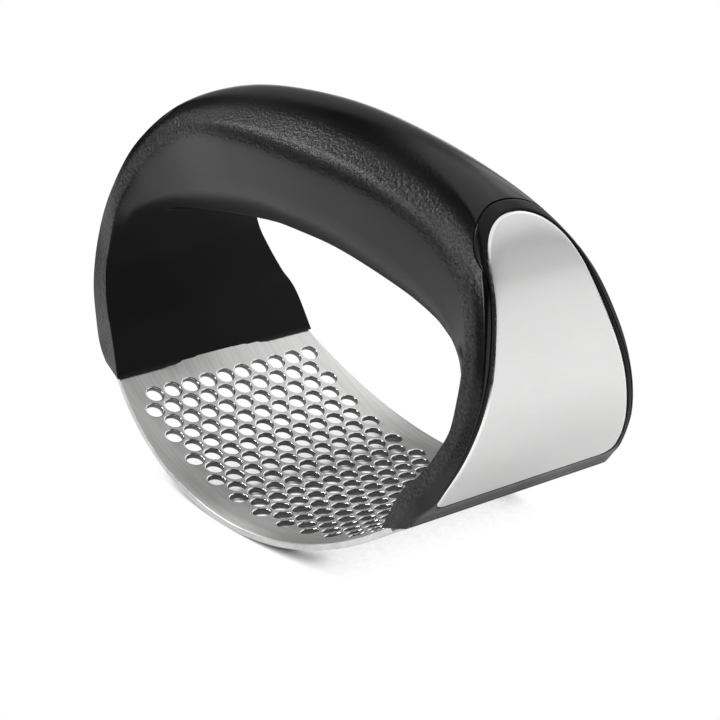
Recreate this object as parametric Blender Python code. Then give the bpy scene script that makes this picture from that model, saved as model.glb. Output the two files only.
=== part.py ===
"""Rocking garlic press: an arched plastic handle that stands on a curved, perforated steel plate.

Frame: +X along the plate's arc, +Y across it, +Z up, origin on the ground under the middle of the
plate. The object mirrors over the planes x = 0 and y = 0. Lengths below are in millimetres.
"""
import bisect
import math

import bmesh
import bpy
from mathutils import Vector, geometry

MM = 0.001
GAP = 0.3               # between pieces that touch

# The steel plate: an arc about an axis along Y, with staggered rows of holes.
PITCH = 4.0             # between the holes of a row, which runs along Y
ROW_STEP = 3.53         # between rows, along the arc
ROWS = 22
HOLES_IN_ROW = 10
HOLE_RADIUS = 1.68
HOLE_SIDES = 8
PLATE_RADIUS = 69.2     # of the upper face
PLATE_THICK = 1.2
PLATE_HALF_LENGTH = 43.6    # along the arc, to the shoulders where the tabs begin
PLATE_HALF_WIDTH = 26.0     # in the middle
PLATE_END_HALF_WIDTH = 21.7
FIELD_HALF_WIDTH = 20.8     # of the strip that holds the holes
TAB_HALF_WIDTH = 14.0
TAB_DEPTH = 0.9             # of the tab's outer face, under the outer face of the foot

# The handle: sections from a foot (share 0) to the crown (share 1). Each section lies in the plane
# through Y and the line from its inner point to its outer point, and is a polygon with soft corners:
# rims beside the outer point, creases some way down the sides, and lower corners beside the inner
# point. Columns: share, outer x, outer z, inner x, inner z, rim y, crease height as a share of the
# line, crease y, lower y, softness of the rim, softness of the crease, bulge of the side band.
SECTIONS = (
    (0.00, 45.0, 15.5, 39.4, 13.8, 21.7, 0.00, 22.5, 12.0, 0.06, 0.04, 0.0),
    (0.05, 46.4, 17.3, 42.2, 19.9, 21.7, 0.00, 21.6, 12.0, 0.06, 0.04, 0.0),
    (0.16, 49.8, 21.3, 46.1, 25.0, 20.5, 0.00, 20.2, 12.0, 0.06, 0.04, 0.0),
    (0.27, 53.4, 28.6, 48.5, 29.2, 18.7, 0.00, 18.9, 12.0, 0.06, 0.04, 0.0),
    (0.38, 55.0, 36.9, 49.7, 34.0, 16.3, 0.05, 17.4, 12.8, 0.07, 0.08, 0.0),
    (0.50, 53.7, 45.7, 45.7, 41.4, 14.0, 0.49, 15.1, 12.8, 0.12, 0.20, 0.2),
    (0.62, 49.4, 55.7, 38.2, 44.0, 10.7, 0.68, 12.4, 12.4, 0.22, 0.32, 0.4),
    (0.74, 41.6, 64.1, 26.8, 45.9, 5.6, 0.71, 11.0, 12.0, 0.36, 0.40, 0.6),
    (0.87, 24.0, 69.8, 10.7, 48.0, 2.3, 0.74, 11.9, 12.0, 0.46, 0.46, 0.6),
    (1.00, 0.0, 71.9, 0.0, 48.4, 2.6, 0.71, 12.5, 12.0, 0.50, 0.50, 0.6),
)
CORNER_STEPS = 3        # faces round each soft corner
HANDLE_WALL = 2.4

# The end stack of each foot, as depths under the handle's outer face.
END_THICK = 0.6         # of the bezel and of the steel end plate
END_FLOOR = 0.9         # of the seat under the bezel
BEZEL_START, BEZEL_TOP = 0.012, 0.7505       # shares of the section table
BEZEL_SIDES = (         # share, half width: 0.35 inside the rim, then inside the soft shoulder
    (0.00, 21.35), (0.05, 21.35), (0.16, 20.15), (0.27, 18.35), (0.38, 15.95), (0.50, 13.4),
    (0.56, 12.0), (0.62, 10.7), (0.76, 10.2),
)
BEZEL_SHOULDER = 0.56   # share above which the bezel's seat has a wall at its sides
BEZEL_ARCH = 11.0       # length of the rounded top
END_PLATE_START, END_PLATE_TOP = 0.108, 0.7275
END_PLATE_SIDES = (     # share, half width
    (0.10, 19.4), (0.16, 19.1), (0.20, 18.8), (0.27, 17.4), (0.38, 14.9), (0.50, 12.35),
    (0.62, 9.75), (0.76, 9.5),
)
END_PLATE_ARCH = 12.0
END_PLATE_CORNER = 2.6  # radius of the bottom corners
PAD_SHARES = (0.34, 0.38, 0.42, 0.46, 0.50)
PAD_HALF_WIDTH = 7.0
PAD_THICK = 0.5

# The liner that closes the hollow grip from below. It stands on a ledge and has a stiffening rib.
HOLLOW_START = 0.58     # share
LINER_THICK = 1.3
LINER_START = 0.56
NECK_START = 0.60       # of the opening that the liner covers
LINER_LEDGE = 1.6       # seat of the liner on each side
LINER_INSET = 3.4       # of the liner's edge from the handle's sides
RIB_HALF_WIDTH, RIB_HEIGHT = 0.6, 3.2
RIB_START = 0.65        # share above which the rib has its full height
NECK_DEPTH = 6.8        # from the grip's underside, well into the hollow

PLATE_SCREW_AT = (0.20, 9.0)    # share, y
SCREW_HEAD_RADIUS, SCREW_SHANK_RADIUS = 2.3, 1.1
SCREW_HEAD_TALL, SCREW_LONG = 1.1, 2.6
SCREW_HOLE_LONG = 2.9
SCREW_SIDES = 12

WELD = 0.001            # points nearer than this are one point
MOST_FLAKE_FACES = 12   # of a loose scrap

SIDES = (("left", -1), ("right", 1))


# ---- Scene and materials ------------------------------------------------------------------------

def clear_scene():
    for thing in list(bpy.data.objects):
        bpy.data.objects.remove(thing, do_unlink=True)


def material(name, colour, roughness, metallic=0.0):
    made = bpy.data.materials.new(name)
    made.use_nodes = True
    shader = made.node_tree.nodes["Principled BSDF"]
    shader.inputs["Base Color"].default_value = (*colour, 1.0)
    shader.inputs["Roughness"].default_value = roughness
    shader.inputs["Metallic"].default_value = metallic
    return made


def add_object(name, bm, finish):
    bmesh.ops.recalc_face_normals(bm, faces=bm.faces)
    if bm.calc_volume(signed=True) < 0:
        bmesh.ops.reverse_faces(bm, faces=bm.faces)
    mesh = bpy.data.meshes.new(name)
    bm.to_mesh(mesh)
    bm.free()
    mesh.shade_smooth()
    mesh.set_sharp_from_angle(angle=math.radians(35))
    made = bpy.data.objects.new(name, mesh)
    if finish:
        made.data.materials.append(finish)
    bpy.context.scene.collection.objects.link(made)
    return made


def add_cutter(name, bm):
    cutter = add_object(name, bm, None)
    cutter.hide_render = True
    cutter.display_type = "WIRE"
    return cutter


def combine(target, operation, other):
    step = target.modifiers.new(other.name, "BOOLEAN")
    step.operation = operation
    step.solver = "MANIFOLD"    # EXACT leaves open edges on the handle's many shallow seats
    step.object = other


def apply_cuts(target):
    """Applies the Booleans, drops the thin scraps that they leave, and closes the slits."""
    bpy.context.view_layer.update()
    cut = bpy.data.meshes.new_from_object(target.evaluated_get(bpy.context.evaluated_depsgraph_get()))
    target.modifiers.clear()
    bm = bmesh.new()
    bm.from_mesh(cut)
    bmesh.ops.remove_doubles(bm, verts=bm.verts, dist=WELD * MM)
    flakes, seen = [], set()
    for start in bm.faces:
        if start in seen:
            continue
        seen.add(start)
        group, waiting = [start], [start]
        while waiting:
            for edge in waiting.pop().edges:
                for face in edge.link_faces if len(edge.link_faces) == 2 else ():
                    if face not in seen:
                        seen.add(face)
                        group.append(face)
                        waiting.append(face)
        if len(group) < MOST_FLAKE_FACES:
            flakes += group
    bmesh.ops.delete(bm, geom=flakes, context="FACES")
    bmesh.ops.triangle_fill(bm, edges=[edge for edge in bm.edges if edge.is_boundary])
    bm.to_mesh(target.data)
    bm.free()
    target.data.shade_smooth()
    target.data.set_sharp_from_angle(angle=math.radians(35))


# ---- The handle's section table -----------------------------------------------------------------

def station(share):
    """The section table's columns at this share, on a smooth curve that is level at the crown."""
    shares = [row[0] for row in SECTIONS]
    rows = [Vector(row[1:]) for row in SECTIONS]
    beyond = rows[-2].copy()
    beyond[0], beyond[2] = -beyond[0], -beyond[2]
    shares.append(2 - shares[-2])
    rows.append(beyond)

    def slope(i):
        if i == 0:
            return (rows[1] - rows[0]) / (shares[1] - shares[0])
        before, after = shares[i] - shares[i - 1], shares[i + 1] - shares[i]
        first = (rows[i] - rows[i - 1]) / before
        second = (rows[i + 1] - rows[i]) / after
        return (first * after + second * before) / (before + after)

    i = min(max(bisect.bisect_left(shares, share) - 1, 0), len(SECTIONS) - 2)
    span = shares[i + 1] - shares[i]
    u = (share - shares[i]) / span
    return ((2 * u**3 - 3 * u**2 + 1) * rows[i] + (u**3 - 2 * u**2 + u) * span * slope(i)
            + (-2 * u**3 + 3 * u**2) * rows[i + 1] + (u**3 - u**2) * span * slope(i + 1))


def outline(share, steps=CORNER_STEPS, inset=0.0):
    """The closed section as (height above the inner point, y) pairs, outer rim first."""
    s = station(share)
    tall = math.hypot(s[0] - s[2], s[1] - s[3])
    rim, crease, lower = (tall, s[4]), (s[5] * tall, s[6]), (0.0, s[7])
    band = ((rim[0] + crease[0]) / 2, (rim[1] + crease[1]) / 2 + s[10])
    half = [(rim, s[8]), (band, 0.5), (crease, s[9]), (lower, 0.5)]
    corners = half + [((h, -y), soft) for (h, y), soft in reversed(half)]
    points = []
    for j, (corner, soft) in enumerate(corners):
        here = Vector(corner)
        start = here.lerp(Vector(corners[j - 1][0]), soft)
        end = here.lerp(Vector(corners[(j + 1) % len(corners)][0]), soft)
        for k in range(steps + 1):
            u = k / steps
            points.append(start.lerp(here, u).lerp(here.lerp(end, u), u))
    if inset:
        widest = max(p.y for p in points)
        for p in points:
            p.x = tall / 2 + (p.x - tall / 2) * (1 - 2 * inset / tall)
            p.y *= 1 - inset / widest
    return points


def place(share, height, y):
    """The point at this height and y of a section, in the frame's X, Y and Z."""
    s = station(share)
    inner, outer = Vector((s[2], 0, s[3])), Vector((s[0], 0, s[1]))
    point = inner + (outer - inner).normalized() * height
    point.y = y
    return point


def surface_height(share, y, outer):
    """The height of the outer or inner face of a section at this y."""
    points = outline(share, steps=6)
    best = None
    for a, b in zip(points, points[1:] + points[:1]):
        low, high = min(a.y, b.y), max(a.y, b.y)
        if low <= y <= high and high > low:
            height = a.x + (b.x - a.x) * (y - a.y) / (b.y - a.y)
            if best is None or (height > best) == outer:
                best = height
    return best


def outward(share, outer):
    """The unit normal of the outer or inner profile, pointing away from the handle's material."""
    step = 0.004
    low, high = station(max(share - step, 0.0)), station(min(share + step, 1.0))
    k = 0 if outer else 2
    along = Vector((high[k] - low[k], 0, high[k + 1] - low[k + 1])).normalized()
    normal = Vector((along.z, 0, -along.x))
    return normal if outer else -normal


def on_face(share, y, depth, outer=True):
    """A point this deep under the outer or inner face of the handle."""
    return place(share, surface_height(share, y, outer), y) - outward(share, outer) * depth


def length_along(shares, outer=True):
    """The running length of the profile at each of these shares."""
    k = 0 if outer else 2
    total, last, lengths = 0.0, None, []
    for share in shares:
        here = station(share)
        here = Vector((here[k], here[k + 1]))
        total += (here - last).length if last else 0.0
        last = here
        lengths.append(total)
    return lengths


# ---- Solids from rings --------------------------------------------------------------------------

def loft(rings):
    """A closed solid through rings of equally many points, capped at both ends."""
    bm = bmesh.new()
    rows = [[bm.verts.new(Vector(p) * MM) for p in ring] for ring in rings]
    count = len(rows[0])
    for low, high in zip(rows, rows[1:]):
        for j in range(count):
            bm.faces.new((low[j], low[(j + 1) % count], high[(j + 1) % count], high[j]))
    bm.faces.new(reversed(rows[0]))
    bm.faces.new(rows[-1])
    bmesh.ops.remove_doubles(bm, verts=bm.verts, dist=0.001 * MM)
    return bm


def mirrored(ring, sign):
    return [Vector((p.x * sign, p.y, p.z)) for p in ring]


def spread(low, high, count, squeeze=0.0):
    """Shares from low to high; squeeze moves them towards both ends."""
    shares = []
    for k in range(count):
        u = k / (count - 1)
        eased = u * u * (3 - 2 * u)
        shares.append(low + (high - low) * (u + (eased - u) * squeeze))
    return shares


def face_strip(shares, widths, top, bottom, sign=1, outer=True, across=4):
    """A curved slab that follows a face of the handle between two depths."""
    rings = []
    for share, width in zip(shares, widths):
        ys = [width * (2 * k / across - 1) for k in range(across + 1)]
        upper = [on_face(share, y, top, outer) for y in ys]
        lower = [on_face(share, y, bottom, outer) for y in reversed(ys)]
        rings.append(mirrored(upper + lower, sign))
    return loft(rings)


def interpolated(table, share):
    for (a, low), (b, high) in zip(table, table[1:]):
        if share <= b:
            return low + (high - low) * (share - a) / (b - a)
    return table[-1][1]


def arched(sides, first, last, arch, grow, corner=0.0):
    """Shares and half widths of an outline with these sides and a rounded top, grown by this much."""
    shares = spread(first, last, 19, squeeze=0.9)
    lengths = length_along(shares)
    widths = []
    for share, s in zip(shares, lengths):
        width = interpolated(sides, share)
        if s < corner:
            width -= corner - math.sqrt(corner**2 - (corner - s) ** 2)
        left = lengths[-1] - s
        if left < arch:
            width *= math.sqrt(max(1 - (1 - left / arch) ** 2, 0.0016))
        widths.append(width + grow)
    per_length = (last - first) / lengths[-1]
    if corner:
        shares[0] -= grow * per_length
    shares[-1] += grow * per_length
    return shares, widths


def end_plate_outline(grow=0.0):
    return arched(END_PLATE_SIDES, END_PLATE_START, END_PLATE_TOP, END_PLATE_ARCH, grow,
                  END_PLATE_CORNER)


def bezel_outline(grow=0.0):
    return arched(BEZEL_SIDES, BEZEL_START, BEZEL_TOP, BEZEL_ARCH, grow)


# ---- The pieces ---------------------------------------------------------------------------------

def plate_nodes():
    """Bend nodes of the plate from the middle outwards: (length, upper face, lower face).

    The bends lie between the rows. The middle strip is flat, spans two rows and rests on the ground.
    """
    nodes = []
    lengths = [(k + 1) * ROW_STEP for k in range(int(PLATE_HALF_LENGTH / ROW_STEP))] + [PLATE_HALF_LENGTH]
    low = PLATE_RADIUS + PLATE_THICK
    centre = low * math.cos(lengths[0] / PLATE_RADIUS)
    for length in lengths:
        angle = length / PLATE_RADIUS
        nodes.append((
            length,
            Vector((PLATE_RADIUS * math.sin(angle), 0, centre - PLATE_RADIUS * math.cos(angle))),
            Vector((low * math.sin(angle), 0, centre - low * math.cos(angle))),
        ))
    for share in (0.075, 0.12, 0.17, 0.22, 0.27):
        upper = on_face(share, 0, TAB_DEPTH + PLATE_THICK)
        lower = on_face(share, 0, TAB_DEPTH)
        nodes.append((nodes[-1][0] + (upper - nodes[-1][1]).length, upper, lower))
    return nodes


def bent(nodes, s, y, face):
    """The plate's flat layout (s along, y across) bent into place; face 1 is upper, 2 is lower."""
    side = math.copysign(1.0, s)
    s = abs(s)
    if s <= nodes[0][0]:
        first = nodes[0][face]
        return Vector((side * first.x * s / nodes[0][0], y, first.z))
    for low, high in zip(nodes, nodes[1:]):
        if s <= high[0] + WELD:
            point = low[face].lerp(high[face], (s - low[0]) / (high[0] - low[0]))
            return Vector((side * point.x, y, point.z))
    raise ValueError("beyond the tab")


def plate_edge(s):
    """Half width of the plate: widest in the middle, on a shallow curve."""
    fall = (PLATE_HALF_WIDTH - PLATE_END_HALF_WIDTH) / PLATE_HALF_LENGTH**2
    return PLATE_HALF_WIDTH - fall * s * s


def round_hole(s, y, radius, sides):
    turn = 2 * math.pi / sides
    return [(s + radius * math.cos((k + 0.5) * turn), y + radius * math.sin((k + 0.5) * turn))
            for k in range(sides)]


def hole_centres():
    for row in range(ROWS):
        shift = PITCH / 4 if row % 2 == 0 else -PITCH / 4
        for column in range(HOLES_IN_ROW):
            across = (column - (HOLES_IN_ROW - 1) / 2) * PITCH + shift
            yield (row - (ROWS - 1) / 2) * ROW_STEP, across


def tab_screw_length(nodes):
    """Length along the plate at which the tab's screw holes sit."""
    target = on_face(PLATE_SCREW_AT[0], 0, TAB_DEPTH + PLATE_THICK)
    low, high = min(
        zip(nodes, nodes[1:]),
        key=lambda pair: (pair[0][1] - target).length + (pair[1][1] - target).length,
    )
    part = (target - low[1]).dot((high[1] - low[1]).normalized())
    return low[0] + part


def press_plate(finish):
    nodes = plate_nodes()
    stops = [node[0] for node in nodes]
    body_stops = [s for s in stops if s <= PLATE_HALF_LENGTH]
    tab_stops = [s for s in stops if s > PLATE_HALF_LENGTH]
    ladder = [-s for s in reversed(body_stops)] + body_stops
    points, edges, faces = [], [], []

    def loop(coords):
        first = len(points)
        points.extend(Vector(c) for c in coords)
        faces.append(list(range(first, len(points))))

    front = [(s, -plate_edge(s)) for s in ladder]
    back = [(s, plate_edge(s)) for s in reversed(ladder)]
    right_tab = ([(s, -TAB_HALF_WIDTH) for s in [PLATE_HALF_LENGTH] + tab_stops]
                 + [(s, TAB_HALF_WIDTH) for s in reversed([PLATE_HALF_LENGTH] + tab_stops)])
    left_tab = [(-s, -y) for s, y in right_tab]
    loop(front + right_tab + back + left_tab)
    for sign in (-1, 1):
        field = len(points)
        points.extend(Vector((s, sign * FIELD_HALF_WIDTH)) for s in ladder)
        edges.extend((field + k, field + k + 1) for k in range(len(ladder) - 1))
        rail = len(points)
        points.extend(Vector((s, sign * plate_edge(s))) for s in ladder)
        edges.extend((field + k, rail + k) for k in range(len(ladder)))
        for k in range(len(tab_stops) - 1):
            first = len(points)
            points.extend(Vector((sign * tab_stops[k], y)) for y in (-TAB_HALF_WIDTH, TAB_HALF_WIDTH))
            edges.append((first, first + 1))
        first = len(points)
        points.extend(Vector((sign * PLATE_HALF_LENGTH, y)) for y in (-TAB_HALF_WIDTH, TAB_HALF_WIDTH))
        edges.append((first, first + 1))
    for s, y in hole_centres():
        loop(round_hole(s, y, HOLE_RADIUS, HOLE_SIDES))
    screw_s = tab_screw_length(nodes)
    screw_holes = [(sign * screw_s, side * PLATE_SCREW_AT[1]) for sign in (-1, 1) for side in (-1, 1)]
    for s, y in screw_holes:
        loop(round_hole(s, y, SCREW_SHANK_RADIUS + GAP, SCREW_SIDES))

    flat, _, flat_faces, _, _, sources = geometry.delaunay_2d_cdt(points, edges, faces, 0, 1e-5)
    kept = [face for face, source in zip(flat_faces, sources) if source == [0]]

    def widened(v):
        """Screw holes flare to the head's width at the lower face."""
        for s, y in screw_holes:
            away = Vector((v.x - s, v.y - y))
            if away.length < SCREW_SHANK_RADIUS + GAP + 0.05:
                wide = away.normalized() * (SCREW_HEAD_RADIUS + GAP)
                return s + wide.x, y + wide.y
        return v.x, v.y

    bm = bmesh.new()
    upper = [bm.verts.new(bent(nodes, v.x, v.y, 1) * MM) for v in flat]
    lower = [bm.verts.new(bent(nodes, *widened(v), 2) * MM) for v in flat]
    for face in kept:
        bm.faces.new([upper[k] for k in face])
        bm.faces.new([lower[k] for k in reversed(face)])
    sides = [(a, b) for face in kept for a, b in zip(face, face[1:] + face[:1])]
    inner_sides = set(sides)
    for a, b in sides:
        if (b, a) not in inner_sides:
            bm.faces.new((upper[b], upper[a], lower[a], lower[b]))
    bmesh.ops.delete(bm, geom=[v for v in bm.verts if not v.link_faces], context="VERTS")
    return add_object("press_plate", bm, finish)


def handle_shares():
    """Shares of the whole arch with the side they are on, from the left foot to the right foot."""
    half = [0.0, 0.025, 0.05, 0.10, 0.16, 0.22, 0.27, 0.325, 0.38, 0.42, 0.46, 0.50, 0.54, 0.58,
            0.62, 0.66, 0.70, 0.74, 0.785, 0.83, 0.87, 0.915, 0.96]
    return [(s, -1) for s in half] + [(1.0, 1)] + [(s, 1) for s in reversed(half)]


def liner_shares(start=LINER_START):
    """Shares along the liner with the side they are on; start moves its two ends."""
    half = [start] + [share for share in (0.59, 0.62, 0.66, 0.70, 0.74, 0.80, 0.87, 0.94) if share > start]
    return [(share, -1) for share in half] + [(1.0, 1)] + [(share, 1) for share in reversed(half)]


def liner_half_width(share):
    s = station(share)
    return min(s[7], s[6]) - LINER_INSET


def inner_strip(narrow, top, bottom, start=LINER_START):
    """A slab along the grip's underside between two depths, narrower than the liner by this much."""
    rings = []
    for share, sign in liner_shares(start):
        width = liner_half_width(share) - narrow
        ys = [-width, -width / 2, 0.0, width / 2, width]
        upper = [on_face(share, y, top, False) for y in ys]
        lower = [on_face(share, y, bottom, False) for y in reversed(ys)]
        rings.append(mirrored(upper + lower, sign))
    return loft(rings)


def frame_at(share, y, sign):
    """The outer face's point and inward direction at this place, on one side of the handle."""
    point = on_face(share, y, 0.0)
    inward = -outward(share, True)
    return (Vector((point.x * sign, point.y, point.z)),
            Vector((inward.x * sign, inward.y, inward.z)))


def turned(point, inward, profile, sides=SCREW_SIDES):
    """A solid of revolution along inward; profile lists (depth, radius) from the outside in."""
    across = Vector((0, 1, 0))
    third = inward.cross(across)
    rings = []
    for depth, radius in profile:
        centre = point + inward * depth
        rings.append([
            centre + (across * math.cos(2 * math.pi * k / sides)
                      + third * math.sin(2 * math.pi * k / sides)) * radius
            for k in range(sides)
        ])
    return loft(rings)


def corners_of(at):
    """Left and right, front and back places of one kind of screw, with a name for each."""
    for side, sign in SIDES:
        for end, y in (("front", -at[1]), ("back", at[1])):
            yield f"{side}_{end}", frame_at(at[0], y, sign)


def bezel_seat(sign):
    """The recess under a bezel. Its sides are open up to the shoulder, and so is its bottom."""
    shares, widths = bezel_outline(GAP)
    below = on_face(shares[0], 0, 0) - on_face(shares[0] + 0.02, 0, 0)
    rings = []
    for share, width in zip(shares, widths):
        past = 3.0 * min(max((BEZEL_SHOULDER - share) / 0.06, 0.0), 1.0)
        ring = []
        for depth, turn in ((-3.0, 1), (END_FLOOR, -1)):
            for k in range(5):
                part = turn * (k / 2 - 1)
                point = on_face(share, part * width, depth)
                point.y = part * (width + past)
                ring.append(point)
        rings.append(ring)
    rings.insert(0, [point + below for point in rings[0]])
    return loft([mirrored(ring, sign) for ring in rings])


def plate_slot(nodes, half_width, under, sign):
    """Room for a stretch of the plate, open on its lower side down to this depth."""
    rings = []
    for _, upper, lower in nodes:
        away = (upper - lower).normalized()
        top, low = upper + away * GAP, lower - away * under
        rings.append([Vector((p.x, y, p.z)) for p, y in (
            (top, half_width), (top, -half_width), (low, -half_width), (low, half_width))])
    past = (nodes[-1][1] - nodes[-2][1]).normalized() * GAP
    rings.append([point + past for point in rings[-1]])
    return loft([mirrored(ring, sign) for ring in rings])


def handle_shell(finish):
    rings = [mirrored([place(s, p.x, p.y) for p in outline(s)], sign)
             for s, sign in handle_shares()]
    shell = add_object("handle_shell", loft(rings), finish)

    wall = HANDLE_WALL + END_FLOOR
    rings = [mirrored([place(s, p.x, p.y) for p in outline(s, steps=2, inset=wall)], sign)
             for s, sign in handle_shares() if s >= HOLLOW_START]
    cutters = {
        "hollow": loft(rings),
        "neck": inner_strip(LINER_LEDGE - GAP, LINER_THICK - 0.4, NECK_DEPTH, NECK_START),
        "liner_seat": inner_strip(-GAP, -3.0, LINER_THICK + GAP, LINER_START - 0.006),
    }
    nodes = plate_nodes()
    shoulder = next(k for k, node in enumerate(nodes) if node[0] >= PLATE_HALF_LENGTH)
    for side, sign in SIDES:
        cutters[f"{side}_bezel_seat"] = bezel_seat(sign)
        pad = [PAD_SHARES[0] - 0.006, *PAD_SHARES[1:-1], PAD_SHARES[-1] + 0.006]
        cutters[f"{side}_pad_seat"] = face_strip(
            pad, [PAD_HALF_WIDTH + GAP] * len(pad), -1.0, END_FLOOR + PAD_THICK + GAP, sign)
        cutters[f"{side}_plate_seat"] = plate_slot(
            nodes[shoulder - 3:shoulder + 1], PLATE_END_HALF_WIDTH + 0.45, 5.0, sign)
        cutters[f"{side}_tab_seat"] = plate_slot(nodes[shoulder:], TAB_HALF_WIDTH + GAP, 3.0, sign)
    for name, (point, inward) in corners_of(PLATE_SCREW_AT):
        radius = SCREW_SHANK_RADIUS + GAP
        cutters[f"plate_screw_{name}"] = turned(
            point, inward, ((0.5, radius), (TAB_DEPTH + SCREW_HOLE_LONG, radius)))
    for name, cutter in cutters.items():
        combine(shell, "DIFFERENCE", add_cutter(f"cut_{name}", cutter))
    apply_cuts(shell)


def handle_liner(finish):
    rings = []
    for share, sign in liner_shares():
        width = liner_half_width(share)
        rib = LINER_THICK + (RIB_HEIGHT if share > RIB_START else 0.02)
        ring = [on_face(share, y, 0.0, False) for y in (-width, -width / 2, 0.0, width / 2, width)]
        for y, depth in ((width, LINER_THICK), (RIB_HALF_WIDTH, LINER_THICK), (RIB_HALF_WIDTH, rib),
                         (-RIB_HALF_WIDTH, rib), (-RIB_HALF_WIDTH, LINER_THICK), (-width, LINER_THICK)):
            ring.append(on_face(share, y, depth, False))
        rings.append(mirrored(ring, sign))
    add_object("handle_liner", loft(rings), finish)


def end_pieces(black, steel, foam):
    for side, sign in SIDES:
        bezel = add_object(f"bezel_{side}", face_strip(*bezel_outline(), 0.0, END_THICK, sign), black)
        opening = face_strip(*end_plate_outline(GAP), -1.0, END_THICK + 1.0, sign)
        combine(bezel, "DIFFERENCE", add_cutter(f"cut_{side}_bezel_opening", opening))
        add_object(f"end_plate_{side}", face_strip(*end_plate_outline(), 0.0, END_THICK, sign), steel)
        add_object(f"adhesive_pad_{side}", face_strip(
            PAD_SHARES, [PAD_HALF_WIDTH] * len(PAD_SHARES), END_FLOOR, END_FLOOR + PAD_THICK, sign), foam)


def plate_screws(finish):
    head, shank = SCREW_HEAD_RADIUS, SCREW_SHANK_RADIUS
    top = TAB_DEPTH + 0.1
    profile = ((top, head), (top + SCREW_HEAD_TALL, shank), (top + SCREW_LONG - 0.3, shank),
               (top + SCREW_LONG, shank * 0.6))
    for name, (point, inward) in corners_of(PLATE_SCREW_AT):
        add_object(f"plate_screw_{name}", turned(point, inward, profile), finish)


def main():
    clear_scene()
    black = material("black_plastic", (0.012, 0.012, 0.013), 0.42)
    smooth_black = material("smooth_black_plastic", (0.010, 0.010, 0.011), 0.25)
    steel = material("stainless_steel", (0.62, 0.62, 0.61), 0.32, 1.0)
    satin = material("satin_steel", (0.72, 0.72, 0.71), 0.38, 1.0)
    foam = material("adhesive_foam", (0.75, 0.74, 0.70), 0.8)
    screw_steel = material("screw_steel", (0.45, 0.45, 0.46), 0.35, 1.0)
    press_plate(steel)
    handle_shell(black)
    handle_liner(smooth_black)
    end_pieces(smooth_black, satin, foam)
    plate_screws(screw_steel)


main()
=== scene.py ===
"""Looks of a rocking garlic press: an arched black plastic handle on a curved, perforated steel plate.

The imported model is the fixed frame. The pieces made here stand for its nodes with a finer surface.
Lengths in the tables are in millimetres; objects are in metres, in the frame's axes: +X along the
plate's arc, +Y across it, +Z up. The object mirrors over the planes x = 0 and y = 0.
"""
import bisect
import functools
import math

import bmesh
import bpy
from mathutils import Matrix, Quaternion, Vector, geometry, kdtree


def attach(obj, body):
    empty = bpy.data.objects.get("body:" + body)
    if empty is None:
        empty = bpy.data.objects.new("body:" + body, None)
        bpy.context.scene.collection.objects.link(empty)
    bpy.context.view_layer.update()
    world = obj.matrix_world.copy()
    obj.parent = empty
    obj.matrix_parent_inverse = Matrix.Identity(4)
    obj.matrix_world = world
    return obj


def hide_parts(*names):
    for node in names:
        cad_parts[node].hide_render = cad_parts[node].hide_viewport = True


MM = 0.001
SEAM = 0.10             # visible joint between two pieces
MERGE = 0.0005          # points closer than this are one
CUT_PAST = 3.0          # how far a cutter stands out of the surface that it cuts
SIDES = (("left", -1), ("right", 1))

# The press plate.
PITCH = 4.0
ROW_STEP = 3.53
ROWS = 22
HOLES_IN_ROW = 10
HOLE_SIDES = 28
# Radius and depth of a hole's wall from the upper face to the lower face: both edges are rolled.
HOLE_PROFILE = ((1.85, 0.0), (1.79, 0.005), (1.72, 0.03), (1.66, 0.08), (1.61, 0.16), (1.58, 0.28),
                (1.57, 0.9), (1.60, 1.04), (1.66, 1.12), (1.74, 1.18), (1.85, 1.2))
HOLE_WALL = (4, 5, 6)   # the stretches of the profile that the punch left rough; they take a dark steel, which paints shade inside the holes
PLATE_RADIUS = 69.2     # of the upper face
PLATE_THICK = 1.2
PLATE_HALF_LENGTH = 43.6
PLATE_HALF_WIDTH = 26.0
PLATE_END_HALF_WIDTH = 21.7
FIELD_HALF_WIDTH = 20.8
TAB_HALF_WIDTH = 14.0
TAB_DEPTH = 0.9
TAB_START, TAB_END = 0.075, 0.27    # shares of the handle that the tab follows
PLATE_STEPS, TAB_STEPS = 60, 24
EDGE_STEPS, TAB_EDGE_STEPS = 70, 12
GUIDE_OFFSETS = (0.6, 1.6)          # lines that order the margin's faces, outside the holes
GUIDE_STEPS = 60
FOOT_STEPS = 16         # stretches of the plate under a foot's face
FOOT_SLOT_DEPTH = 5.0
# Inset and depth of the sheet's edge.
EDGE_PROFILE = ((0.16, 0.0), (0.08, 0.03), (0.02, 0.10), (0.0, 0.22), (0.0, 0.98), (0.02, 1.10),
                (0.08, 1.17), (0.16, 1.2))

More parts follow.
